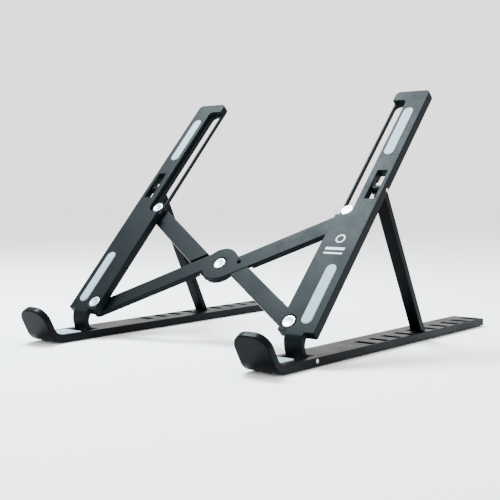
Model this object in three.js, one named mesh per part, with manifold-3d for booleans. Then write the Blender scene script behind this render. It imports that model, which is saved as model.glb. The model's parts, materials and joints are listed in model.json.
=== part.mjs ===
// Folding laptop stand: two base bars with front hooks, two tilting upper bars, a leg under
// each upper bar and a pair of crossed arms that sets how far apart the two sides stand.
// Units are millimetres. X runs across the stand, Y from the hooks to the rear, Z up.
// The two sides are mirror images. The right side is drawn, and the left one is its mirror.

import * as THREE from 'three';
import Module from 'manifold-3d';
import { mergeVertices } from 'three/addons/utils/BufferGeometryUtils.js';

const wasm = await Module();
wasm.setup();

// ---------------------------------------------------------------- driving dimensions
const TILT = THREE.MathUtils.degToRad(46.1);   // upper bars above the base bars
const PIVOT_X = 77.8;                          // pivot and slider pins, from the middle plane
const PIN_INSET = 4.9;                         // those pins, in from each upper bar's inner edge

const UPPER_WIDTH = 24.5;
const UPPER_LENGTH = 197;
const PLATE = 5.8;                             // upper bar thickness
const PLATE_TOP = 13.3;                        // upper bar's top face above the hinge axis
const BAR_START = 8.4;                         // upper bar's lower end, along the bar from the hinge
const TOP_CORNER = 3.2;
const LOW_CORNER = 0.9;

const BASE_WIDTH = 23.1;
const BASE_THICK = 4.8;
const BASE_REAR = 209;                         // rear end of the base bar, behind the hinge
const HINGE_UP = 3.0;                          // hinge axis above the base bar's underside
const BEND_Y = -29.4;                          // centre of the hook's bend
const BEND_INSIDE = 7;                         // its inner radius
const HOOK_RISE = THREE.MathUtils.degToRad(60);
const TONGUE = 17.2;                           // straight length of the hook past the bend
const TONGUE_CORNER = 9;

const FOOT_PROUD = 0.7;
const FOOT_SUNK = 0.8;
const FOOT_SIZE = [13, 12];
const FOOT_Y = [-20, 196];

const NECK_WIDTH = 12;                         // block that joins the upper bar to its hinge
const BARREL = 2.8;
const POCKET_FRONT = -9.4;
const POCKET_REAR = 5.6;

const NOTCHES = 10;
const NOTCH_FIRST = 62;
const NOTCH_PITCH = 15.6;
const NOTCH_IN_USE = 4;                        // counted from zero at the front
const NOTCH_SIZE = [12.4, 5.8, 2.6];           // across, along and deep
const NOTCH_EDGE = 1.3;                        // in from the bar's outer side

const RECESS_DEEP = 3.2;                       // ledge that the slider's cap runs in
const RECESS_HALF = 5.2;
const SLOT_HALF = 3.4;
const PIVOT_UP = 6.3;                          // lower pins, up from the bar's lower end
const SLIDER_UP = 92.7;                        // slider pins, with the stand opened out

const PAD_INSET = 5.0;                         // grip pads, in from the outer edge
const PAD_WIDTH = 6.9;
const PAD_THICK = 1.4;
const PAD_PROUD = 0.6;
const PAD_SPANS = { lower_pad: [5.8, 48.2], upper_pad: [137.5, 180] };
const HOOK_PAD = { inner: 1.0, outer: 5.4, front: -29.4, rear: -13, thick: 1.0, proud: 0.5 };

const WINDOW = { inset: 3.0, width: 6.7, from: 100.5, to: 124 };
const LEG_PIN_UP = 111.1;                      // leg's pin, up from the bar's lower end
const LEG_PIN_DOWN = 4.2;                      // and below the top face
const LEG_WIDTH = 7.9;
const LEG_FRONT = 0.9;                         // leg's front face, ahead of its pin
const LEG_BACK = 4.0;                          // leg's back face, behind its pin
const LEG_HEAD = 2.9;
const LEG_NECK = 3.6;
const TOE = [6.3, 1.7, 1.0];                   // across, along and deep
const CHANNEL_WEB = 3.0;                       // plate left over the leg's channel
const CHANNEL_FROM = 4.4;

const ARM_WIDTHS = { pivot: 11.2, slider: 12.3 };
const ARM_INSETS = { pivot: 0.15, slider: 0.8 };  // inner edges from the arm's middle line
const ARM_THICK = 3.9;
const ARM_DROP = 0.8;                          // gap between upper bar and arm
const HUB_RADIUS = 12.6;
const HUB_THICK = 4.6;                         // both arms together, where they cross
const DIMPLE = { along: 13.4, across: -5.9, radius: 1.3, deep: 1.6 };

const CAP = 4.2;                               // rivet caps, radius
const CAP_ROOM = 0.6;                          // width of the groove around a cap
const CAP_THICK = 0.75;
const CAP_PROUD = 0.15;
const SLIDER_CAP = 4.2;
const SLIDER_CAP_TOP = 2.2;                    // below the upper bar's top face
const SHAFT = 2.0;
const HEAD = 3.4;
const HEAD_THICK = 0.7;
const HEAD_INSET = 0.2;                        // above the arm's underside
const WASHER = 0.4;
const STEEL_PIN = 1.2;

const GAP = 0.3;                               // running clearance between faces
const FIT = 0.15;                              // clearance of pins in their bores

// ---------------------------------------------------------------- places worked out from them
const OUTER_X = PIVOT_X - PIN_INSET + UPPER_WIDTH;
const UPPER_INNER = OUTER_X - UPPER_WIDTH;
const BASE_INNER = OUTER_X - BASE_WIDTH;
const BASE_TOP = FOOT_PROUD + BASE_THICK;
const HINGE_Z = FOOT_PROUD + HINGE_UP;
const MIDDLE_X = (OUTER_X + UPPER_INNER) / 2;
const WINDOW_OUTER = OUTER_X - WINDOW.inset;
const WINDOW_INNER = WINDOW_OUTER - WINDOW.width;
const LEG_X = (WINDOW_OUTER + WINDOW_INNER) / 2;
const ARM_TOP = PLATE_TOP - PLATE - ARM_DROP;
const LAP = (HUB_THICK - GAP) / 2;
const PIVOT_AT = BAR_START + PIVOT_UP;
const SLIDER_AT = BAR_START + SLIDER_UP;
const ARM_REACH = Math.hypot(PIVOT_X, (SLIDER_UP - PIVOT_UP) / 2);
const ARM_ANGLE = Math.atan2((SLIDER_UP - PIVOT_UP) / 2, PIVOT_X) + Math.asin(PIN_INSET / ARM_REACH);
const FOLDED_X = PIN_INSET + GAP;
const SLIDER_TOP = PIVOT_AT + 2 * Math.sqrt(ARM_REACH ** 2 - FOLDED_X ** 2);
const HUB_AT = (PIVOT_AT + SLIDER_AT) / 2;

// ---------------------------------------------------------------- shape helpers
const ROUND = 40;

function toSolid(geometry) {
  const bare = geometry.clone();
  bare.deleteAttribute('normal');
  bare.deleteAttribute('uv');
  const merged = mergeVertices(bare, 1e-4);
  return new wasm.Manifold(new wasm.Mesh({
    numProp: 3,
    vertProperties: new Float32Array(merged.attributes.position.array),
    triVerts: new Uint32Array(merged.index.array),
  }));
}

function box(x, y, z) {
  const geometry = new THREE.BoxGeometry(x[1] - x[0], y[1] - y[0], z[1] - z[0]);
  geometry.translate((x[0] + x[1]) / 2, (y[0] + y[1]) / 2, (z[0] + z[1]) / 2);
  return toSolid(geometry);
}

// An outline in the plane of X and Y, given a height along Z.
function plate(shape, z, segments = 12) {
  const geometry = new THREE.ExtrudeGeometry(shape, {
    depth: z[1] - z[0], bevelEnabled: false, curveSegments: segments,
  });
  geometry.translate(0, 0, z[0]);
  return toSolid(geometry);
}

// An outline in the plane of Y and Z, given a width along X.
function profile(shape, x, segments = 12) {
  const geometry = new THREE.ExtrudeGeometry(shape, {
    depth: x[1] - x[0], bevelEnabled: false, curveSegments: segments,
  });
  const across = new THREE.Vector3(1, 0, 0);
  const along = new THREE.Vector3(0, 1, 0);
  const up = new THREE.Vector3(0, 0, 1);
  geometry.applyMatrix4(new THREE.Matrix4().makeBasis(along, up, across));
  geometry.translate(x[0], 0, 0);
  return toSolid(geometry);
}

function upright(radius, x, y, z) {
  const geometry = new THREE.CylinderGeometry(radius, radius, z[1] - z[0], ROUND);
  geometry.rotateX(Math.PI / 2);
  geometry.translate(x, y, (z[0] + z[1]) / 2);
  return toSolid(geometry);
}

function crosswise(radius, x, y, z, sides = 24) {
  const geometry = new THREE.CylinderGeometry(radius, radius, x[1] - x[0], sides);
  geometry.rotateZ(Math.PI / 2);
  geometry.translate((x[0] + x[1]) / 2, y, z);
  return toSolid(geometry);
}

// A stack of round steps about an upright axis: each step is [radius, bottom, top].
function turned(x, y, steps) {
  return steps.map(([radius, bottom, top]) => upright(radius, x, y, [bottom, top]))
    .reduce((sum, step) => sum.add(step));
}

// A rectangle with its own radius at each corner, from the low corner counterclockwise.
function roundedRectangle(x, y, radii) {
  const [a, b, c, d] = radii;
  const shape = new THREE.Shape();
  shape.moveTo(x[0] + a, y[0]);
  shape.lineTo(x[1] - b, y[0]);
  if (b) shape.absarc(x[1] - b, y[0] + b, b, -Math.PI / 2, 0, false);
  shape.lineTo(x[1], y[1] - c);
  if (c) shape.absarc(x[1] - c, y[1] - c, c, 0, Math.PI / 2, false);
  shape.lineTo(x[0] + d, y[1]);
  if (d) shape.absarc(x[0] + d, y[1] - d, d, Math.PI / 2, Math.PI, false);
  shape.lineTo(x[0], y[0] + a);
  if (a) shape.absarc(x[0] + a, y[0] + a, a, Math.PI, 1.5 * Math.PI, false);
  return shape;
}

function stadium(x, y) {
  const radius = (x[1] - x[0]) / 2;
  return roundedRectangle(x, y, [radius, radius, radius, radius]);
}

function padX(grow = 0) {
  return [OUTER_X - PAD_INSET - PAD_WIDTH - grow, OUTER_X - PAD_INSET + grow];
}

// ---------------------------------------------------------------- base bar
function hookProfile() {
  const low = FOOT_PROUD;
  const centre = BASE_TOP + BEND_INSIDE;
  const outside = BEND_INSIDE + BASE_THICK;
  const end = 1.5 * Math.PI - HOOK_RISE;
  const forward = [-Math.cos(HOOK_RISE) * TONGUE, Math.sin(HOOK_RISE) * TONGUE];
  const shape = new THREE.Shape();
  shape.moveTo(BASE_REAR, low);
  shape.lineTo(BASE_REAR, BASE_TOP);
  shape.lineTo(BEND_Y, BASE_TOP);
  shape.absarc(BEND_Y, centre, BEND_INSIDE, 1.5 * Math.PI, end, true);
  for (const radius of [BEND_INSIDE, outside]) {
    const y = BEND_Y + radius * Math.cos(end) + forward[0];
    const z = centre + radius * Math.sin(end) + forward[1];
    shape.lineTo(y, z);
  }
  shape.absarc(BEND_Y, centre, outside, end, 1.5 * Math.PI, false);
  return shape;
}

// Rounds one upper corner of the hook, cutting square to its face.
function hookCorner(side) {
  const r = TONGUE_CORNER;
  const shape = new THREE.Shape();
  shape.moveTo(-1, -1);
  shape.lineTo(r, -1);
  shape.lineTo(r, 0);
  shape.absarc(r, r, r, -Math.PI / 2, -Math.PI, true);
  shape.lineTo(-1, r);
  const end = 1.5 * Math.PI - HOOK_RISE;
  const middle = BEND_INSIDE + BASE_THICK / 2;
  const geometry = new THREE.ExtrudeGeometry(shape, {
    depth: 3 * BASE_THICK, bevelEnabled: false, curveSegments: 16,
  });
  geometry.translate(0, 0, -1.5 * BASE_THICK);
  const inward = new THREE.Vector3(-side, 0, 0);
  const down = new THREE.Vector3(0, Math.cos(HOOK_RISE), -Math.sin(HOOK_RISE));
  const facing = new THREE.Vector3().crossVectors(inward, down);
  geometry.applyMatrix4(new THREE.Matrix4().makeBasis(inward, down, facing));
  geometry.translate(
    side > 0 ? OUTER_X : BASE_INNER,
    BEND_Y + middle * Math.cos(end) - Math.cos(HOOK_RISE) * TONGUE,
    BASE_TOP + BEND_INSIDE + middle * Math.sin(end) + Math.sin(HOOK_RISE) * TONGUE,
  );
  return toSolid(geometry);
}

function footBox(y, grow = 0) {
  const middle = (OUTER_X + BASE_INNER) / 2;
  const half = [FOOT_SIZE[0] / 2 + grow, FOOT_SIZE[1] / 2 + grow];
  const outline = roundedRectangle(
    [middle - half[0], middle + half[0]], [y - half[1], y + half[1]], [2, 2, 2, 2]);
  return plate(outline, [grow ? -1 : 0, FOOT_PROUD + FOOT_SUNK + grow], 6);
}

function hookPadBox(grow = 0) {
  const x = [BASE_INNER + HOOK_PAD.inner - grow, OUTER_X - HOOK_PAD.outer + grow];
  const y = [HOOK_PAD.front - grow, HOOK_PAD.rear + grow];
  const top = BASE_TOP + HOOK_PAD.proud;
  return plate(roundedRectangle(x, y, [1, 2.5, 2.5, 1]), [top - HOOK_PAD.thick - grow, top + 4 * grow], 6);
}

function notchY(index) {
  return NOTCH_FIRST + index * NOTCH_PITCH;
}

function baseBar() {
  let bar = profile(hookProfile(), [BASE_INNER, OUTER_X], 10);
  for (const side of [1, -1]) bar = bar.subtract(hookCorner(side));
  const neck = [MIDDLE_X - NECK_WIDTH / 2 - GAP, MIDDLE_X + NECK_WIDTH / 2 + GAP];
  bar = bar.subtract(box(neck, [POCKET_FRONT, POCKET_REAR], [-1, BASE_TOP + 1]));
  bar = bar.subtract(crosswise(STEEL_PIN + FIT, [BASE_INNER + 1, OUTER_X + 1], 0, HINGE_Z));
  for (let i = 0; i < NOTCHES; i += 1) {
    const x = [OUTER_X - NOTCH_EDGE - NOTCH_SIZE[0], OUTER_X - NOTCH_EDGE];
    const y = [notchY(i) - NOTCH_SIZE[1] / 2, notchY(i) + NOTCH_SIZE[1] / 2];
    bar = bar.subtract(box(x, y, [BASE_TOP - NOTCH_SIZE[2], BASE_TOP + 1]));
  }
  for (const y of FOOT_Y) bar = bar.subtract(footBox(y, GAP / 2));
  return bar.subtract(hookPadBox(GAP / 2));
}

// ---------------------------------------------------------------- upper bar, in its own frame
// Its frame has the hinge axis at the origin, Y along the bar and Z square to its top face.
function neckOutline() {
  const shape = new THREE.Shape();
  shape.moveTo(BAR_START + 1, PLATE_TOP);
  shape.lineTo(BAR_START - 1.6, PLATE_TOP);
  shape.bezierCurveTo(5.2, PLATE_TOP, 3.2, 12.2, 0.9, 9.1);
  shape.bezierCurveTo(-0.4, 7.3, -2.1, 4.2, -BARREL, 0);
  shape.absarc(0, 0, BARREL, Math.PI, 1.68 * Math.PI, false);
  shape.lineTo(2.9, -2.6);
  shape.lineTo(4.4, -1.8);
  shape.bezierCurveTo(3.0, 0.6, 1.2, 1.6, 1.7, 3.9);
  shape.bezierCurveTo(2.3, 6.4, 4.8, 9.2, BAR_START + 1, PLATE_TOP - PLATE + 1.4);
  return shape;
}

function recessOutline() {
  const wall = PIVOT_X + RECESS_HALF;
  const shape = new THREE.Shape();
  shape.moveTo(UPPER_INNER - 1, SLIDER_AT - RECESS_HALF);
  shape.lineTo(PIVOT_X, SLIDER_AT - RECESS_HALF);
  shape.absarc(PIVOT_X, SLIDER_AT, RECESS_HALF, -Math.PI / 2, 0, false);
  const end = SLIDER_TOP + SLIDER_CAP + GAP;
  const corner = 3;
  shape.lineTo(wall, end - corner);
  shape.absarc(wall - corner, end - corner, corner, 0, Math.PI / 2, false);
  shape.lineTo(UPPER_INNER - 1, end);
  return shape;
}

function legPin() {
  return { y: BAR_START + LEG_PIN_UP, z: PLATE_TOP - LEG_PIN_DOWN };
}

function upperBar() {
  const low = PLATE_TOP - PLATE;
  const corners = [LOW_CORNER, LOW_CORNER, TOP_CORNER, TOP_CORNER];
  const ends = [BAR_START, BAR_START + UPPER_LENGTH];
  let bar = plate(roundedRectangle([UPPER_INNER, OUTER_X], ends, corners), [low, PLATE_TOP], 6);
  const neck = [MIDDLE_X - NECK_WIDTH / 2, MIDDLE_X + NECK_WIDTH / 2];
  bar = bar.add(profile(neckOutline(), neck, 8));

  bar = bar.subtract(plate(recessOutline(), [PLATE_TOP - RECESS_DEEP, PLATE_TOP + 1]));
  const slot = [SLIDER_AT - SLOT_HALF, SLIDER_TOP + SLOT_HALF];
  bar = bar.subtract(plate(stadium([PIVOT_X - SLOT_HALF, PIVOT_X + SLOT_HALF], slot), [low - 1, PLATE_TOP]));

  const window = [BAR_START + WINDOW.from, BAR_START + WINDOW.to];
  bar = bar.subtract(box([WINDOW_INNER, WINDOW_OUTER], window, [low - 1, PLATE_TOP + 1]));
  const half = LEG_WIDTH / 2 + GAP;
  const channel = [BAR_START + CHANNEL_FROM, legPin().y + LEG_BACK + LEG_NECK];
  bar = bar.subtract(box([LEG_X - half, LEG_X + half], channel, [low - 1, PLATE_TOP - CHANNEL_WEB]));

  for (const span of Object.values(PAD_SPANS)) bar = bar.subtract(gripPad(span, GAP / 2));
  bar = bar.subtract(upright(SHAFT + FIT, PIVOT_X, PIVOT_AT, [low - 1, PLATE_TOP + 1]));
  const seat = PLATE_TOP + CAP_PROUD - CAP_THICK - FIT;
  bar = bar.subtract(upright(CAP + CAP_ROOM, PIVOT_X, PIVOT_AT, [seat, PLATE_TOP + 1]));
  bar = bar.subtract(crosswise(STEEL_PIN + FIT, [WINDOW_INNER - 3.2, OUTER_X + 1], legPin().y, legPin().z));
  return bar.subtract(crosswise(STEEL_PIN + FIT, [neck[0] - 1, neck[1] + 1], 0, 0));
}

function gripPad(span, grow = 0) {
  const y = [BAR_START + span[0] - grow, BAR_START + span[1] + grow];
  const top = PLATE_TOP + PAD_PROUD;
  return plate(stadium(padX(grow), y), [top - PAD_THICK - grow, top + 4 * grow], 10);
}

// ---------------------------------------------------------------- leg, in the stand's frame
function toWorld(y, z) {
  return {
    y: y * Math.cos(TILT) - z * Math.sin(TILT),
    z: y * Math.sin(TILT) + z * Math.cos(TILT) + HINGE_Z,
  };
}

function legLayout() {
  const pin = toWorld(legPin().y, legPin().z);
  const foot = notchY(NOTCH_IN_USE) + TOE[1] / 2;
  const reach = Math.hypot(foot - pin.y, pin.z - BASE_TOP);
  const offset = (LEG_BACK - LEG_FRONT) / 2;
  const lean = Math.atan2(pin.z - BASE_TOP, foot - pin.y) + Math.asin(offset / reach);
  return {
    pin,
    down: [Math.cos(lean), -Math.sin(lean)],
    back: [Math.sin(lean), Math.cos(lean)],
  };
}

function leg() {
  const { pin, down, back } = legLayout();
  const at = (d, e) => [pin.y + d * down[0] + e * back[0], pin.z + d * down[1] + e * back[1]];
  const sole = BASE_TOP + GAP;
  const reachAt = (e) => (pin.z + e * back[1] - sole) / -down[1];
  const outline = (from, front, rear) => {
    const shape = new THREE.Shape();
    shape.moveTo(...at(from, -front));
    shape.lineTo(...at(reachAt(-front), -front));
    shape.lineTo(...at(reachAt(rear), rear));
    shape.lineTo(...at(from, rear));
    return shape;
  };
  const wide = [LEG_X - LEG_WIDTH / 2, LEG_X + LEG_WIDTH / 2];
  const slim = [WINDOW_INNER + GAP / 1.5, WINDOW_OUTER - GAP / 1.5];
  let solid = profile(outline(LEG_NECK, LEG_FRONT, LEG_BACK), wide);
  const neck = new THREE.Shape();
  neck.moveTo(...at(0, -LEG_FRONT));
  neck.lineTo(...at(LEG_NECK + 1, -LEG_FRONT));
  neck.lineTo(...at(LEG_NECK + 1, LEG_HEAD));
  neck.lineTo(...at(0, LEG_HEAD));
  solid = solid.add(profile(neck, slim));
  solid = solid.add(crosswise(LEG_HEAD, slim, pin.y, pin.z, 32));
  const wall = notchY(NOTCH_IN_USE) + NOTCH_SIZE[1] / 2 - GAP;
  const toe = [LEG_X - TOE[0] / 2, LEG_X + TOE[0] / 2];
  solid = solid.add(box(toe, [wall - TOE[1], wall], [BASE_TOP - TOE[2], sole + 1]));
  return solid.subtract(crosswise(STEEL_PIN + FIT, [slim[0] - 1, slim[1] + 1], pin.y, pin.z));
}

// ---------------------------------------------------------------- crossed arms
// An arm's own frame has the hub at the origin, X along its two half strips and Z = 0 at its
// top face. The half strips lie on either side of the middle line, so that the folded arms
// lie side by side.
const ARM_ENDS = { slider: 1, pivot: -1 };
const STRIP_LENGTH = Math.sqrt(ARM_REACH ** 2 - PIN_INSET ** 2);
const ARM_EDGE = Math.max(...Object.keys(ARM_ENDS).map((end) => ARM_INSETS[end] + ARM_WIDTHS[end]));
const HUB_BAND = Math.max(HUB_RADIUS, ARM_EDGE) + GAP;
const CUT_LENGTH = 4 * HUB_BAND;

function halfStrip(end, length, z) {
  const radius = ARM_WIDTHS[end] / 2;
  const shape = new THREE.Shape();
  shape.moveTo(0, -radius);
  shape.lineTo(length, -radius);
  if (length === STRIP_LENGTH) shape.absarc(length, 0, radius, -Math.PI / 2, Math.PI / 2, false);
  shape.lineTo(length, radius);
  shape.lineTo(0, radius);
  const strip = plate(shape, z, 14).translate([0, -radius - ARM_INSETS[end], 0]);
  return ARM_ENDS[end] > 0 ? strip : strip.rotate([0, 0, 180]);
}

function crossCut(z) {
  const cut = box([-CUT_LENGTH, CUT_LENGTH], [-HUB_BAND, HUB_BAND], z);
  return cut.rotate([0, 0, THREE.MathUtils.radToDeg(-2 * ARM_ANGLE)]);
}

function withPinBores(arm) {
  let bored = arm.subtract(upright(SHAFT + FIT, 0, 0, [-HUB_THICK - 1, 1]));
  for (const side of Object.values(ARM_ENDS)) {
    const at = [side * STRIP_LENGTH, -side * PIN_INSET];
    bored = bored.subtract(upright(SHAFT + FIT, ...at, [-HUB_THICK - 1, 1]));
    const seat = HEAD_INSET + HEAD_THICK + WASHER + 3 * FIT - ARM_THICK;
    bored = bored.subtract(upright(HEAD + GAP, ...at, [-HUB_THICK - 1, seat]));
  }
  return bored;
}

function placeArm(arm, mirrored) {
  const turned = arm.rotate([0, 0, THREE.MathUtils.radToDeg(ARM_ANGLE)]);
  const handed = mirrored ? turned.mirror([1, 0, 0]) : turned;
  return handed.translate([0, HUB_AT, ARM_TOP]);
}

function topArm() {
  const z = [-ARM_THICK, 0];
  let arm = halfStrip('slider', STRIP_LENGTH, z).add(halfStrip('pivot', STRIP_LENGTH, z));
  arm = arm.add(upright(HUB_RADIUS, 0, 0, z)).subtract(crossCut([-ARM_THICK - 1, -LAP]));
  arm = arm.subtract(upright(CAP + CAP_ROOM, 0, 0, [CAP_PROUD - CAP_THICK - FIT, 1]));
  const { along, across, radius, deep } = DIMPLE;
  arm = arm.subtract(upright(radius, along, across, [-deep, 1]));
  return placeArm(withPinBores(arm), false);
}

function lowerArm() {
  const z = [-ARM_THICK, 0];
  const thick = [-HUB_THICK, -LAP];
  let arm = halfStrip('slider', STRIP_LENGTH, z).add(halfStrip('pivot', STRIP_LENGTH, z));
  for (const end of Object.keys(ARM_ENDS)) arm = arm.add(halfStrip(end, 1.6 * HUB_BAND, thick));
  arm = arm.add(upright(HUB_RADIUS, 0, 0, [-HUB_THICK, 0])).subtract(crossCut([-LAP - GAP, 1]));
  arm = arm.subtract(upright(HEAD + GAP, 0, 0, [-HUB_THICK - 1, HEAD_INSET + HEAD_THICK + FIT - HUB_THICK]));
  return placeArm(withPinBores(arm), true);
}

// ---------------------------------------------------------------- rivets and washers, in the bar's frame
const HEAD_BOTTOM = ARM_TOP - ARM_THICK + HEAD_INSET;
const HEAD_TOP = HEAD_BOTTOM + HEAD_THICK;
const HUB_BOTTOM = ARM_TOP - HUB_THICK + HEAD_INSET;

function pivotRivet(x) {
  const top = PLATE_TOP + CAP_PROUD;
  return turned(x, PIVOT_AT, [
    [HEAD, HEAD_BOTTOM, HEAD_TOP],
    [SHAFT, HEAD_BOTTOM, top],
    [CAP, top - CAP_THICK, top],
  ]);
}

function sliderRivet(x) {
  const top = PLATE_TOP - SLIDER_CAP_TOP;
  const collar = SLOT_HALF - GAP;
  return turned(x, SLIDER_AT, [
    [HEAD, HEAD_BOTTOM, HEAD_TOP],
    [SHAFT, HEAD_BOTTOM, top],
    [collar, ARM_TOP + GAP, top],
    [SLIDER_CAP, PLATE_TOP - RECESS_DEEP + GAP, top],
  ]);
}

function hubRivet() {
  const top = ARM_TOP + CAP_PROUD;
  return turned(0, HUB_AT, [
    [HEAD, HUB_BOTTOM, HUB_BOTTOM + HEAD_THICK],
    [SHAFT, HUB_BOTTOM, top],
    [CAP, top - CAP_THICK, top],
  ]);
}

function washer(x, y) {
  const z = [HEAD_TOP + FIT, HEAD_TOP + FIT + WASHER];
  return upright(HEAD, x, y, z).subtract(upright(SHAFT + FIT, x, y, [z[0] - 1, z[1] + 1]));
}

// ---------------------------------------------------------------- materials
const LOOKS = {
  shell: { color: 0x50585b, roughness: 0.55, metalness: 0.0 },
  base: { color: 0x454c50, roughness: 0.55, metalness: 0.0 },
  arm: { color: 0x474f52, roughness: 0.55, metalness: 0.0 },
  leg: { color: 0x1d2126, roughness: 0.6, metalness: 0.0 },
  pad: { color: 0xb9c9cf, roughness: 0.8, metalness: 0.0 },
  foot: { color: 0x16181a, roughness: 0.9, metalness: 0.0 },
  steel: { color: 0xc9cdd0, roughness: 0.35, metalness: 1.0 },
};

// ---------------------------------------------------------------- assembly
const stand = new THREE.Group();
const tilted = new THREE.Group();
tilted.position.set(0, 0, HINGE_Z);
tilted.rotation.set(TILT, 0, 0);
stand.add(tilted);

function addPiece(parent, name, solid, look) {
  const mesh = solid.getMesh();
  const geometry = new THREE.BufferGeometry();
  geometry.setAttribute('position', new THREE.BufferAttribute(new Float32Array(mesh.vertProperties), 3));
  geometry.setIndex(new THREE.BufferAttribute(new Uint32Array(mesh.triVerts), 1));
  geometry.computeVertexNormals();
  const piece = new THREE.Mesh(geometry, new THREE.MeshStandardMaterial(LOOKS[look]));
  piece.name = name;
  parent.add(piece);
}

const sides = { right: (solid) => solid, left: (solid) => solid.mirror([1, 0, 0]) };

for (const [side, handed] of Object.entries(sides)) {
  const sign = side === 'right' ? 1 : -1;
  addPiece(stand, `${side}_base_bar`, handed(baseBar()), 'base');
  addPiece(stand, `${side}_hook_pad`, handed(hookPadBox()), 'pad');
  addPiece(stand, `${side}_front_foot`, handed(footBox(FOOT_Y[0])), 'foot');
  addPiece(stand, `${side}_rear_foot`, handed(footBox(FOOT_Y[1])), 'foot');
  const hinge = crosswise(STEEL_PIN, [BASE_INNER + 1 + FIT, OUTER_X], 0, HINGE_Z);
  addPiece(stand, `${side}_hinge_pin`, handed(hinge), 'steel');
  addPiece(stand, `${side}_leg`, handed(leg()), 'leg');

  addPiece(tilted, `${side}_upper_bar`, handed(upperBar()), 'shell');
  for (const [name, span] of Object.entries(PAD_SPANS)) {
    addPiece(tilted, `${side}_${name}`, handed(gripPad(span)), 'pad');
  }
  const { y, z } = legPin();
  const pin = crosswise(STEEL_PIN, [WINDOW_INNER - 3.2 + FIT, OUTER_X], y, z);
  addPiece(tilted, `${side}_leg_pin`, handed(pin), 'steel');
  addPiece(tilted, `${side}_pivot_rivet`, pivotRivet(sign * PIVOT_X), 'steel');
  addPiece(tilted, `${side}_pivot_washer`, washer(sign * PIVOT_X, PIVOT_AT), 'steel');
  addPiece(tilted, `${side}_slider_rivet`, sliderRivet(sign * PIVOT_X), 'steel');
  addPiece(tilted, `${side}_slider_washer`, washer(sign * PIVOT_X, SLIDER_AT), 'steel');
}

addPiece(tilted, 'top_arm', topArm(), 'arm');
addPiece(tilted, 'lower_arm', lowerArm(), 'arm');
addPiece(tilted, 'hub_rivet', hubRivet(), 'steel');

// The origin is the middle of the stand's outline, on the floor.
const extent = new THREE.Box3().setFromObject(stand);
stand.position.set(0, -(extent.min.y + extent.max.y) / 2, 0);

export default stand;
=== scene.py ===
# %% [markdown]
# # A folding laptop stand
# The stand has two sides that mirror each other. Each side is a base bar with a turned-up
# hook at its front, an upper bar that tilts on it, and a leg that props the upper bar up.
# Two crossed arms with a rivet in the middle set how far apart the sides stand.
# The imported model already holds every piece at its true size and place, so it is loaded
# first, and everything made here is measured from it.

# %% Load the frame
import bpy
import bmesh
import json
import math
from mathutils import Matrix, Vector


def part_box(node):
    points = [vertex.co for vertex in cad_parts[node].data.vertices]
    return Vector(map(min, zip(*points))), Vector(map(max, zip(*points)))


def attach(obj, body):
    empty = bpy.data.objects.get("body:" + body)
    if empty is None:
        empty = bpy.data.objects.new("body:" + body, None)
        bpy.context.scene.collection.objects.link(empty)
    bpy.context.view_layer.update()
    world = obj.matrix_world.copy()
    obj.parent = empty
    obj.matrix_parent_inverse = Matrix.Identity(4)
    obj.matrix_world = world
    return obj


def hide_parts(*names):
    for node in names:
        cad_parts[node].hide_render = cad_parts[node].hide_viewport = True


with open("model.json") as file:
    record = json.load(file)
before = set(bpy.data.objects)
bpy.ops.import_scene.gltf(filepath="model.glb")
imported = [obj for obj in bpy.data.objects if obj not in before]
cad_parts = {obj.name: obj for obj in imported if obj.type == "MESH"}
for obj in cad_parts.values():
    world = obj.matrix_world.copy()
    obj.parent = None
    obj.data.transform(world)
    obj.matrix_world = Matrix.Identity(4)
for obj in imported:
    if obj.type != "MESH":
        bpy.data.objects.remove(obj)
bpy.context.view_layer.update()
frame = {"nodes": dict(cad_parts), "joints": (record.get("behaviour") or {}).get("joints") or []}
MM = 0.001
nodes = frame["nodes"]
joints = {joint["name"]: joint for joint in frame["joints"]}
print("pieces in the frame:", len(nodes))

# %% [markdown]
# ## A ruler for the tilted bars
# The upper bars, the arms and the rivets all lie along one tilted plane. A second set of
# axes makes them easy to measure: across the stand, along the bar, and out of its top face.
# The arms' hinge axis is square to that plane, so the tilt comes from it.

# %% Axes of the tilted bars
out_of_bar = Vector(joints["arm_fold"]["axis"]).normalized()
hinge = Vector((0, joints["left_tilt"]["pos_m"][1], joints["left_tilt"]["pos_m"][2]))
along_bar = out_of_bar.cross(Vector((1, 0, 0)))
TO_BAR = Matrix((Vector((1, 0, 0)), along_bar, out_of_bar))
TILT = math.atan2(along_bar.z, along_bar.y)


def in_bar(point):
    """A point's place across the stand, along the bar and out of it, from the hinge."""
    return TO_BAR @ (Vector(point) - hinge)


def bar_size(name):
    """Lowest and highest place of a node, measured with the bars' axes."""
    places = [in_bar(vertex.co) for vertex in nodes[name].data.vertices]
    low = Vector([min(place[i] for place in places) for i in range(3)])
    high = Vector([max(place[i] for place in places) for i in range(3)])
    return low, high


def bar_middle(name):
    """The middle of a node's box, measured with the bars' axes."""
    low, high = bar_size(name)
    return (low + high) / 2


CAP_ABOVE_PLATE = 0.15 * MM
PLATE_TOP = bar_size("right_pivot_rivet")[1].z - CAP_ABOVE_PLATE
print("tilt", round(math.degrees(TILT), 1), "plate top", round(PLATE_TOP / MM, 2))

# %% [markdown]
# ## Camera
# A long lens stands in front of the stand, to its right, at about the height of the bars'
# middles and looks almost level. The shift moves the picture on the film without turning the
# camera, so upright edges stay nearly upright.

# %% Camera
CAMERA_PLACE = Vector((402.2, -537.9, 98.5)) * MM
CAMERA_YAW, CAMERA_PITCH, CAMERA_ROLL = (math.radians(a) for a in (40.167, 0.965, -0.217))
LENS, SHIFT_X, SHIFT_Y = 72.2, 0.0953, -0.16

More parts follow.
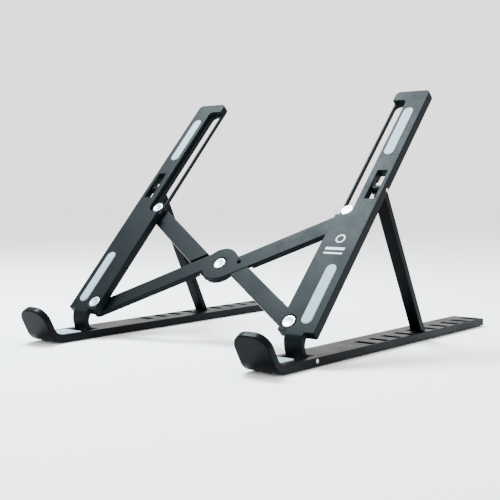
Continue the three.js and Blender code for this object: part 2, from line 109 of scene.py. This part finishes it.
camera_data = bpy.data.cameras.new("camera")
camera_data.sensor_width = 36
camera_data.lens = LENS
camera_data.shift_x, camera_data.shift_y = SHIFT_X, SHIFT_Y
camera_data.clip_start = 0.01
camera = bpy.data.objects.new("camera", camera_data)
bpy.context.scene.collection.objects.link(camera)
heading = Matrix.Rotation(CAMERA_YAW, 4, "Z")
rise = Matrix.Rotation(math.radians(90) + CAMERA_PITCH, 4, "X")
lean = Matrix.Rotation(CAMERA_ROLL, 4, "Z")
camera.matrix_world = Matrix.Translation(CAMERA_PLACE) @ heading @ rise @ lean
bpy.context.scene.camera = camera
print("camera", [round(c, 3) for c in camera.location])

# %% [markdown]
# ## Shader maths as expressions
# A material here is a few patterns mixed together. Writing each sum as a node by hand is
# long, so a small class wraps a socket and turns Python's own operators into Math nodes.

# %% Sockets that can be added and multiplied
class Value:
    """A number that changes over the surface, as a socket of a node."""

    def __init__(self, finish, socket):
        self.finish, self.socket = finish, socket

    def _math(self, operation, *others):
        inputs = {i: other for i, other in enumerate(others)}
        return self.finish.node("ShaderNodeMath", {"operation": operation}, inputs)["Value"]

    def __add__(self, other):
        return self._math("ADD", self, other)

    def __mul__(self, other):
        return self._math("MULTIPLY", self, other)

    def __sub__(self, other):
        return self._math("SUBTRACT", self, other)

    def __rsub__(self, other):
        return self._math("SUBTRACT", other, self)

    __radd__, __rmul__ = __add__, __mul__

    def power(self, other):
        return self._math("POWER", self, other)

    def absolute(self):
        return self._math("ABSOLUTE", self)

    def at_least(self, other):
        return self._math("MAXIMUM", self, other)

    def step(self, low, high):
        """0 below low, 1 above high and smooth between them."""
        ramp = self.finish.node(
            "ShaderNodeMapRange", {"interpolation_type": "SMOOTHSTEP"},
            {"Value": self, "From Min": low, "From Max": high})
        return ramp["Result"]


class Finish:
    """A material and the nodes in it."""

    def __init__(self, name):
        self.material = bpy.data.materials.new(name)
        self.material.use_nodes = True
        self.tree = self.material.node_tree
        self.shader = self.tree.nodes["Principled BSDF"]

    def node(self, kind, settings=None, inputs=None):
        """Adds a node and gives back its outputs by name."""
        made = self.tree.nodes.new(kind)
        for name, value in (settings or {}).items():
            setattr(made, name, value)
        for name, value in (inputs or {}).items():
            self.plug(made.inputs[name], value)
        return {output.name: Value(self, output) for output in made.outputs if output.enabled}

    def plug(self, socket, value):
        if isinstance(value, Value):
            self.tree.links.new(value.socket, socket)
        else:
            socket.default_value = value

    def noise(self, place, scale, detail=2.0, roughness=0.5):
        inputs = {"Vector": place, "Scale": scale, "Detail": detail, "Roughness": roughness}
        return self.node("ShaderNodeTexNoise", {}, inputs)["Fac"]

    def mixed(self, amount, first, second):
        made = self.tree.nodes.new("ShaderNodeMix")
        made.data_type = "RGBA"
        self.plug(made.inputs[0], amount)
        self.plug(made.inputs[6], first)
        self.plug(made.inputs[7], second)
        return Value(self, made.outputs[2])

    def place(self):
        """The place on the object, with the stand's own axes."""
        return self.node("ShaderNodeTexCoord")["Object"]

    def bar_place(self):
        """The place on the object, with the tilted bars' axes."""
        moved = self.node("ShaderNodeVectorMath", {"operation": "SUBTRACT"},
                          {0: self.place(), 1: hinge})["Vector"]
        return self.node("ShaderNodeVectorRotate", {"rotation_type": "X_AXIS"},
                         {"Vector": moved, "Angle": -TILT})["Vector"]

    def parts_of(self, vector):
        split = self.node("ShaderNodeSeparateXYZ", {}, {"Vector": vector})
        return split["X"], split["Y"], split["Z"]

    def bump(self, height, strength, distance):
        inputs = {"Height": height, "Strength": strength, "Distance": distance}
        return self.node("ShaderNodeBump", {}, inputs)["Normal"]

    def set(self, **sockets):
        for name, value in sockets.items():
            self.plug(self.shader.inputs[name.replace("_", " ")], value)


def paint(colour, strength=1.0):
    """A colour with its alpha, made darker or lighter by a factor."""
    return tuple(channel * strength for channel in colour) + (1,)


print("shader helpers ready")

# %% [markdown]
# ## Moulded plastic
# The bars and arms are nylon moulded in a tool with a fine spark-eroded texture. That
# texture scatters and traps light, so the plastic looks satin: dark, with a broad and weak
# sheen. Three things keep it from looking painted: a fine grain in the bump, slow clouds in
# the colour and gloss where the melt flowed, and edges a little lighter, partly rubbed by
# handling and partly a painted highlight where the edges catch the light.
# The right side also carries a plain printed mark, a ring over two bars.

# %% Moulded plastic
WEAK_SHEEN = 0.036
EDGE_REACH = 0.7 * MM
GRAIN_DEPTH = 0.08 * MM


def moulded(name, colour, rubbed_and_highlit, gloss=0.42, grain=0.35, printed=None):
    finish = Finish(name)
    place = finish.place()
    clouds = finish.noise(place, 55.0, 4.0, 0.6)
    speckle = finish.noise(place, 750.0, 2.0)
    texture = finish.noise(place, 2600.0, 1.0)
    # Lighter edges: partly wear from handling, partly a painted highlight where the edges catch
    # the light.
    edges = worn_and_highlit_edges(finish, EDGE_REACH)
    wear_and_highlight = edges * finish.noise(place, 160.0, 4.0, 0.6).step(0.35, 0.7)
    tint = (clouds * 0.7 + speckle * 0.3).step(0.25, 0.75)
    base = finish.mixed(tint, paint(colour, 0.75), paint(colour, 1.25))
    base = finish.mixed(wear_and_highlight * 0.35, base, paint(rubbed_and_highlit))
    if printed:
        coverage = printed(finish) * (0.75 + 0.3 * speckle)
        base = finish.mixed(coverage, base, paint(PRINT_COLOUR))
    roughness = gloss + 0.3 * (clouds - 0.5) + 0.16 * (speckle - 0.5) - 0.06 * wear_and_highlight
    height = texture * 0.6 + speckle * 0.4
    finish.set(Base_Color=base, Roughness=roughness, Specular_IOR_Level=WEAK_SHEEN,
               Normal=finish.bump(height, grain, GRAIN_DEPTH))
    return finish


# The mark's places are (across the stand, along the bar from the hinge), in millimetres.
RING_MIDDLE, RING_RADIUS, RING_HALF_LINE = (85.0, 76.4), 2.7, 0.35
PRINTED_BARS = [  # middle, half its length, half its height
    ((84.6, 68.7), 6.4, 0.85),
    ((84.4, 65.2), 6.2, 0.5),
]
SOFT_RIM = 0.2
PRINT_BELOW_TOP, PRINT_FADE = 0.3 * MM, 0.1 * MM


def plain_mark(finish):
    """A ring over two plain bars, 1 inside them and 0 elsewhere, in the bar's own axes."""
    across, along, out = finish.parts_of(finish.bar_place())

    def inside(distance, reach):
        return 1.0 - distance.absolute().step(reach * MM, (reach + SOFT_RIM) * MM)

    ring_across, ring_along = across - RING_MIDDLE[0] * MM, along - RING_MIDDLE[1] * MM
    from_middle = (ring_across * ring_across + ring_along * ring_along).power(0.5)
    mark = inside(from_middle - RING_RADIUS * MM, RING_HALF_LINE)
    for middle, half_length, half_height in PRINTED_BARS:
        beside = inside(across - middle[0] * MM, half_length)
        mark = mark.at_least(beside * inside(along - middle[1] * MM, half_height))
    on_top = (out - (PLATE_TOP - PRINT_BELOW_TOP)).step(0.0, PRINT_FADE)
    return mark * on_top


# This edge mask carries both the rubbed wear and a painted highlight along the edges.
def worn_and_highlit_edges(finish, radius):
    """1 on outside edges and 0 on flat faces."""
    softened = finish.node("ShaderNodeBevel", {"samples": 4}, {"Radius": radius})["Normal"]
    flat = finish.node("ShaderNodeNewGeometry")["Normal"]
    match = finish.node("ShaderNodeVectorMath", {"operation": "DOT_PRODUCT"},
                        {0: softened, 1: flat})
    return (1.0 - match["Value"]).step(0.02, 0.25)


BAR_COLOUR = (0.0030, 0.0047, 0.0056)
ARM_COLOUR = (0.0025, 0.0038, 0.0046)
BASE_COLOUR = (0.0015, 0.0020, 0.0028)
LEG_COLOUR = (0.0008, 0.0011, 0.0016)
# The lighter colour of the edges: partly rubbed plastic, partly a painted highlight.
RUBBED_AND_HIGHLIT = (0.022, 0.027, 0.03)
RUBBED_AND_HIGHLIT_LEG = (0.006, 0.0075, 0.009)
PRINT_COLOUR = (0.62, 0.68, 0.7)
bar_plastic = moulded("bar_plastic", BAR_COLOUR, RUBBED_AND_HIGHLIT)
printed_plastic = moulded("printed_plastic", BAR_COLOUR, RUBBED_AND_HIGHLIT, printed=plain_mark)
arm_plastic = moulded("arm_plastic", ARM_COLOUR, RUBBED_AND_HIGHLIT)
base_plastic = moulded("base_plastic", BASE_COLOUR, RUBBED_AND_HIGHLIT, gloss=0.36)
leg_plastic = moulded("leg_plastic", LEG_COLOUR, RUBBED_AND_HIGHLIT_LEG, gloss=0.4, grain=0.2)
plastics = (bar_plastic, printed_plastic, arm_plastic, base_plastic, leg_plastic)
print("plastics:", [plastic.material.name for plastic in plastics])

# %% [markdown]
# ## Silicone and rubber
# The grip pads are pale blue-grey silicone, soft and almost without gloss, with a fine
# leathery grain and a little dust. The feet are black rubber, which is the same recipe in
# another colour, so one function makes both.

# %% Silicone and rubber
LEATHER_DEPTH = 0.06 * MM


def soft_rubber(name, colour, dust, roughness):
    finish = Finish(name)
    place = finish.place()
    grain = finish.noise(place, 1500.0, 3.0, 0.6)
    blotch = finish.noise(place, 120.0, 3.0)
    specks = finish.noise(place, 2200.0, 1.0).step(0.62, 0.7)
    base = finish.mixed(blotch.step(0.3, 0.7), paint(colour, 0.93), paint(colour))
    base = finish.mixed(specks * 0.35, base, paint(dust))
    finish.set(Base_Color=base, Roughness=roughness + 0.15 * (grain - 0.5),
               Normal=finish.bump(grain, 0.4, LEATHER_DEPTH))
    return finish


pad_silicone = soft_rubber("pad_silicone", (0.21, 0.29, 0.33), (0.36, 0.44, 0.47), 0.62)
foot_rubber = soft_rubber("foot_rubber", (0.015, 0.016, 0.017), (0.06, 0.06, 0.06), 0.75)
print("soft finishes:", pad_silicone.material.name, foot_rubber.material.name)

# %% [markdown]
# ## Plated steel
# The rivets are zinc-plated steel, turned and then tumbled: bright, with a fine even haze in
# the gloss and faint stains in the colour. The pins are the same steel, polished a bit more.

# %% Plated steel
HAZE_DEPTH = 0.05 * MM


def plated_steel(name, colour, roughness):
    finish = Finish(name)
    place = finish.place()
    haze = finish.noise(place, 700.0, 3.0, 0.6)
    stains = finish.noise(place, 150.0, 3.0)
    base = finish.mixed(stains.step(0.3, 0.75), paint(colour, 0.88), paint(colour))
    finish.set(Base_Color=base, Metallic=0.9, Roughness=roughness + 0.14 * (haze - 0.5),
               Normal=finish.bump(haze, 0.12, HAZE_DEPTH))
    return finish


rivet_steel = plated_steel("rivet_steel", (0.48, 0.54, 0.56), 0.34)
pin_steel = plated_steel("pin_steel", (0.66, 0.67, 0.68), 0.24)
print("steels:", rivet_steel.material.name, pin_steel.material.name)

# %% [markdown]
# ## Copies with rounded edges
# A moulded part has no knife edges: the tool leaves a small radius on each one, and that
# radius is what catches the light. Each plastic piece starts as a copy of its solid. The
# copy's loose triangles are merged, and its flat areas are cut into as few triangles as they
# need. Then the sharp edges, picked by their angle and place, get a rounding of a width that
# suits the edge. The corner points stay square to their edges instead of sliding along the
# triangles, and last the normals are weighted by area, so that flat faces shade flat.

# %% Copy a solid
MERGE = 0.003 * MM
FLAT = math.radians(0.6)


def deselect():
    for item in bpy.context.selected_objects:
        item.select_set(False)


def make_active(piece):
    deselect()
    piece.select_set(True)
    bpy.context.view_layer.objects.active = piece


def copied(name, node):
    """A new piece with a node's mesh, merged and cut into few triangles."""
    piece = bpy.data.objects.new(name, nodes[node].data.copy())
    bpy.context.scene.collection.objects.link(piece)
    make_active(piece)
    bpy.ops.object.mode_set(mode="EDIT")
    bpy.ops.mesh.select_all(action="SELECT")
    bpy.ops.mesh.remove_doubles(threshold=MERGE)
    bpy.ops.mesh.dissolve_limited(angle_limit=FLAT)
    bpy.ops.mesh.quads_convert_to_tris(quad_method="BEAUTY", ngon_method="BEAUTY")
    bpy.ops.object.mode_set(mode="OBJECT")
    return piece


print("copies merge points closer than mm", MERGE / MM)

# %% Round its edges
SHARP, SHARP_RUBBER, SMOOTH = 28, 40, 35  # degrees


def rounded(piece, width_at, sharp=SHARP):
    """Rounds edges sharper than an angle; width_at gives each edge's width from its ends."""
    mesh = piece.data
    shape = bmesh.new()
    shape.from_mesh(mesh)
    widths = [0.0] * len(shape.edges)
    for edge in shape.edges:
        if len(edge.link_faces) == 2 and edge.calc_face_angle(0) > math.radians(sharp):
            widths[edge.index] = width_at(edge.verts[0].co, edge.verts[1].co)
    shape.free()
    widest = max(widths)
    weights = mesh.attributes.new("bevel_weight_edge", "FLOAT", "EDGE")
    weights.data.foreach_set("value", [width / widest for width in widths])
    bevel = piece.modifiers.new("rounding", "BEVEL")
    bevel.width = widest
    bevel.segments = 3
    bevel.limit_method = "WEIGHT"
    bevel.use_clamp_overlap = False
    bevel.loop_slide = False
    make_active(piece)
    bpy.ops.object.modifier_apply(modifier=bevel.name)
    bpy.ops.object.shade_smooth_by_angle(angle=math.radians(SMOOTH))
    weighting = piece.modifiers.new("flat_faces", "WEIGHTED_NORMAL")
    weighting.keep_sharp = True
    bpy.ops.object.modifier_apply(modifier=weighting.name)
    print(piece.name, "faces", len(piece.data.polygons), "rounding mm", round(widest / MM, 2))


def finished(piece, finish, body, slot, *replaced):
    """Gives a piece its finish and its moving body, and hides the nodes it stands for; slot is
    not used.
    """
    piece.data.materials.clear()
    piece.data.materials.append(finish.material)
    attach(piece, body)
    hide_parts(*replaced)


print("edges are rounded above degrees", SHARP)

# %% [markdown]
# ## Upper bars
# Each upper bar is one long moulding: a flat plate with a sunk track for the slider, a
# window that shows the leg's knuckle, and a curved neck that reaches down to the hinge. Its
# bores stay sharp, because a rivet or a pin fills them.

# %% Upper bars
SIDES = ("left", "right")
PIVOT = {side: bar_middle(f"{side}_pivot_rivet") for side in SIDES}
LEG_PIN = bar_middle("right_leg_pin")
PIVOT_BORE, PIN_BORE = 3 * MM, 2 * MM
BAR_ROUNDING = 0.35 * MM


def upper_bar_width(side):
    def width(first, second):
        middle = in_bar((first + second) / 2)
        bores = (
            math.hypot(middle.x - PIVOT[side].x, middle.y - PIVOT[side].y) < PIVOT_BORE,
            math.hypot(middle.y - LEG_PIN.y, middle.z - LEG_PIN.z) < PIN_BORE,
            math.hypot(middle.y, middle.z) < PIN_BORE,
        )
        return 0.0 if any(bores) else BAR_ROUNDING
    return width


for side in SIDES:
    shell = copied(f"{side}_upper_bar_shell", f"{side}_upper_bar")
    rounded(shell, upper_bar_width(side))
    plastic = printed_plastic if side == "right" else bar_plastic
    finished(shell, plastic, f"{side}_upper", "shell", f"{side}_upper_bar")

# %% [markdown]
# ## Base bars
# The base bar ends in a wide hook that keeps the laptop from sliding off. People touch the
# hook, so its rim is rounded more than the rest. The rounding grows gently from the pad
# towards the hook's tip, because a sudden change would leave a step.

# %% Base bars
HINGE_BORE = 1.7 * MM
GROWTH_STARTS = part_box("right_hook_pad")[0].y + 4 * MM
GROWTH_LENGTH = 14 * MM
BASE_ROUNDING, HOOK_EXTRA = 0.35, 0.5


def base_bar_width(first, second):
    middle = (first + second) / 2
    if math.hypot(middle.y - hinge.y, middle.z - hinge.z) < HINGE_BORE:
        return 0.0
    towards_hook = min(max((GROWTH_STARTS - middle.y) / GROWTH_LENGTH, 0), 1)
    return (BASE_ROUNDING + HOOK_EXTRA * towards_hook) * MM


for side in SIDES:
    bar = copied(f"{side}_base_bar_shell", f"{side}_base_bar")
    rounded(bar, base_bar_width)
    finished(bar, base_plastic, f"{side}_base", "base", f"{side}_base_bar")

# %% [markdown]
# ## Legs and arms
# The legs are plain struts with a round knuckle on the pin. The arms are flat bars that
# cross at a round hub, each cut to half its thickness there so that the tops line up.

# %% Legs and arms
LEG_ROUNDING, ARM_ROUNDING = 0.45 * MM, 0.4 * MM
ARM_BORE = 4 * MM
RIVETS = [bar_middle(name) for name in nodes if name.endswith("_rivet")]


def leg_width(first, second):
    middle = in_bar((first + second) / 2)
    near_pin = math.hypot(middle.y - LEG_PIN.y, middle.z - LEG_PIN.z) < PIN_BORE
    return 0.0 if near_pin else LEG_ROUNDING


def arm_width(first, second):
    middle = in_bar((first + second) / 2)
    near = any(math.hypot(middle.x - r.x, middle.y - r.y) < ARM_BORE for r in RIVETS)
    return 0.0 if near else ARM_ROUNDING


for side in SIDES:
    leg = copied(f"{side}_leg_strut", f"{side}_leg")
    rounded(leg, leg_width)
    finished(leg, leg_plastic, f"{side}_leg", "leg", f"{side}_leg")
for name in ("top_arm", "lower_arm"):
    arm = copied(f"{name}_bar", name)
    rounded(arm, arm_width)
    finished(arm, arm_plastic, name, "arm", name)

# %% [markdown]
# ## Grip pads and feet
# Each pad is a strip of silicone pressed into a groove. Its rim is rolled over, which is
# what separates it from the plate around it by a thin dark line. The feet are rubber strips
# pressed into the base bars from below.

# %% Grip pads and feet
FOOT_ROUNDING = 0.3
PADS = {  # the body it is pressed into and its rounding in millimetres
    "upper_pad": ("upper", 0.35), "lower_pad": ("upper", 0.35), "hook_pad": ("base", 0.3),
}
for side in SIDES:
    for name, (body, width) in PADS.items():
        pad = copied(f"{side}_{name}_strip", f"{side}_{name}")
        rounded(pad, lambda first, second: width * MM, SHARP_RUBBER)
        finished(pad, pad_silicone, f"{side}_{body}", "pad", f"{side}_{name}")
    for name in ("front_foot", "rear_foot"):
        foot = copied(f"{side}_{name}_pad", f"{side}_{name}")
        rounded(foot, lambda first, second: FOOT_ROUNDING * MM, SHARP_RUBBER)
        finished(foot, foot_rubber, f"{side}_base", "foot", f"{side}_{name}")

# %% [markdown]
# ## Rivets
# Every rivet is turned from bar: a low domed cap, a shank through both pieces, and a head
# underneath. Each starts as a cylinder the size of the cap, standing upright. The top face
# is inset three times, raised twice for the dome and sunk once for a shallow dimple. The
# bottom face is inset and pulled down for the shank, then widened again for the head.

# %% Turn one rivet
DOME = 0.1 * MM
DOME_INSETS = ((0.3, 0.08), (0.9, 0.02), (0.25, -0.1))  # inset and rise, in millimetres
SAME_LEVEL = 0.005 * MM
WELD = 0.001 * MM
SMOOTH_STEEL = 30  # degrees


def facing(piece, direction):
    """Selects the faces that look along a direction and lie furthest that way."""
    shape = bmesh.from_edit_mesh(piece.data)
    furthest = max(face.calc_center_median().dot(direction) for face in shape.faces)
    for face in shape.faces:
        looks_along = face.normal.dot(direction) > 0.9
        level = face.calc_center_median().dot(direction)
        face.select_set(looks_along and level > furthest - SAME_LEVEL)
    bmesh.update_edit_mesh(piece.data)


def turned_rivet(name, node, cap_radius, cap_thick, steps):
    """A cap and what hangs from it: steps are (radius, depth), from the cap down."""
    low, high = bar_size(node)
    centre = (low + high) / 2
    deselect()
    bpy.ops.mesh.primitive_cylinder_add(
        vertices=72, radius=cap_radius, depth=cap_thick,
        location=(centre.x, centre.y, high.z - cap_thick / 2 - DOME))
    piece = bpy.context.active_object
    piece.name = name
    bpy.ops.object.transform_apply(location=True, rotation=True, scale=True)
    bpy.ops.object.mode_set(mode="EDIT")
    bpy.ops.mesh.select_mode(type="FACE")
    up, down = Vector((0, 0, 1)), Vector((0, 0, -1))
    facing(piece, up)
    for inset, rise in DOME_INSETS:
        bpy.ops.mesh.inset(thickness=inset * MM, depth=rise * MM)
    radius = cap_radius
    for step_radius, depth in steps:
        facing(piece, down)
        if step_radius < radius:
            bpy.ops.mesh.inset(thickness=radius - step_radius, depth=0)
        else:
            bpy.ops.mesh.extrude_region_move(TRANSFORM_OT_translate={"value": (0, 0, 0)})
            bpy.ops.transform.resize(value=(step_radius / radius, step_radius / radius, 1))
        bpy.ops.mesh.extrude_region_move(TRANSFORM_OT_translate={"value": (0, 0, -depth)})
        radius = step_radius
    bpy.ops.mesh.select_all(action="SELECT")
    bpy.ops.mesh.remove_doubles(threshold=WELD)
    bpy.ops.mesh.normals_make_consistent(inside=False)
    bpy.ops.object.mode_set(mode="OBJECT")
    piece.data.transform(Matrix.Translation(hinge) @ TO_BAR.transposed().to_4x4())
    bpy.ops.object.shade_smooth_by_angle(angle=math.radians(SMOOTH_STEEL))
    piece.data.update()
    return piece


print("a cap's dome rises mm", DOME / MM)

# %% [markdown]
# ## The five rivets
# Two pivots and the hub have a cap, a shank and a head. The sliders also have a collar under
# the cap, which fills the slot and keeps the slider from rocking in it.

# %% The five rivets
SHAFT, COLLAR, HEAD = 2.0 * MM, 3.1 * MM, 3.4 * MM
HEAD_THICK = 0.7 * MM
CAP_THICK, CAP_INSIDE = 0.7 * MM, 0.3 * MM
SLIDER_CAP_THICK, SLIDER_CAP_INSIDE, SLIDER_GRIP = 0.6 * MM, 0.4 * MM, 3.7 * MM
CAPPED = {"left_pivot_rivet": "left_upper", "right_pivot_rivet": "right_upper",
          "hub_rivet": "top_arm"}
for node, body in CAPPED.items():
    low, high = bar_size(node)
    cap = (high.x - low.x) / 2 - CAP_INSIDE
    shank = high.z - low.z - CAP_THICK - DOME - HEAD_THICK
    steps = [(SHAFT, shank), (HEAD, HEAD_THICK)]
    rivet = turned_rivet(node + "_turned", node, cap, CAP_THICK, steps)
    finished(rivet, rivet_steel, body, "steel", node)
    print(rivet.name, "cap radius mm", round(cap / MM, 2))
for side, body in (("left", "lower_arm"), ("right", "top_arm")):
    node = f"{side}_slider_rivet"
    low, high = bar_size(node)
    cap = (high.x - low.x) / 2 - SLIDER_CAP_INSIDE
    collar = high.z - low.z - SLIDER_CAP_THICK - DOME - HEAD_THICK - SLIDER_GRIP
    steps = [(COLLAR, collar), (SHAFT, SLIDER_GRIP), (HEAD, HEAD_THICK)]
    rivet = turned_rivet(node + "_turned", node, cap, SLIDER_CAP_THICK, steps)
    finished(rivet, rivet_steel, body, "steel", node)
    print(rivet.name, "cap radius mm", round(cap / MM, 2))

# %% [markdown]
# ## The pieces that keep their solid
# Pins and washers are plain turned pieces that are nearly hidden, so their solids stay as
# they are and only get the polished steel.

# %% Pins and washers
kept_solids = [name for name in nodes if name.endswith(("_pin", "_washer"))]
for name in kept_solids:
    nodes[name].data.materials.clear()
    nodes[name].data.materials.append(pin_steel.material)
print("solids kept as they are:", len(kept_solids))

# %% [markdown]
# ## Floor
# The stand is seen on a plain pale floor. It is only a stage, so it isn't part of the stand,
# and a faint slow mottle keeps it from being one flat tone.

# %% Floor
deselect()
bpy.ops.mesh.primitive_plane_add(size=8, location=(0, 0, 0))
floor = bpy.context.active_object
floor.name = "floor"
floor_paint = Finish("floor_paint")
mottle = floor_paint.noise(floor_paint.place(), 6.0, 2.0)
floor_colour = floor_paint.mixed(mottle, paint((0.93, 0.93, 0.93)), paint((0.96, 0.96, 0.96)))
floor_paint.set(Base_Color=floor_colour, Roughness=0.7)
floor.data.materials.append(floor_paint.material)
print("floor size m", [round(length, 1) for length in floor.dimensions[:2]])

# %% [markdown]
# ## Light
# One large soft panel, slightly cool, hangs above and to the left. The tilted tops of the
# bars reflect it towards the camera, which gives them their sheen and leaves their sides
# dark. A bright white room fills in the rest.

# %% Panel
PANEL_PLACE, PANEL_TARGET = Vector((-0.33, -0.02, 0.76)), Vector((0.085, 0.03, 0.09))
PANEL_SIDE = 0.34
PANEL_WATTS = 26
PANEL_COLOUR = (0.78, 0.94, 1.0)

light = bpy.data.lights.new("top_panel", "AREA")
light.shape = "RECTANGLE"
light.size = light.size_y = PANEL_SIDE
light.energy = PANEL_WATTS
light.color = PANEL_COLOUR
panel = bpy.data.objects.new("top_panel", light)
bpy.context.scene.collection.objects.link(panel)
panel.location = PANEL_PLACE
panel.rotation_euler = (PANEL_TARGET - PANEL_PLACE).to_track_quat("-Z", "Y").to_euler()
print("panel", [round(c, 2) for c in panel.location], "power W", PANEL_WATTS)

# %% Room
ROOM_STRENGTH = 2.1

world = bpy.data.worlds.new("room")
bpy.context.scene.world = world
world.use_nodes = True
background = world.node_tree.nodes["Background"]
background.inputs["Color"].default_value = paint((1.0, 1.0, 1.0))
background.inputs["Strength"].default_value = ROOM_STRENGTH
print("room strength", ROOM_STRENGTH)
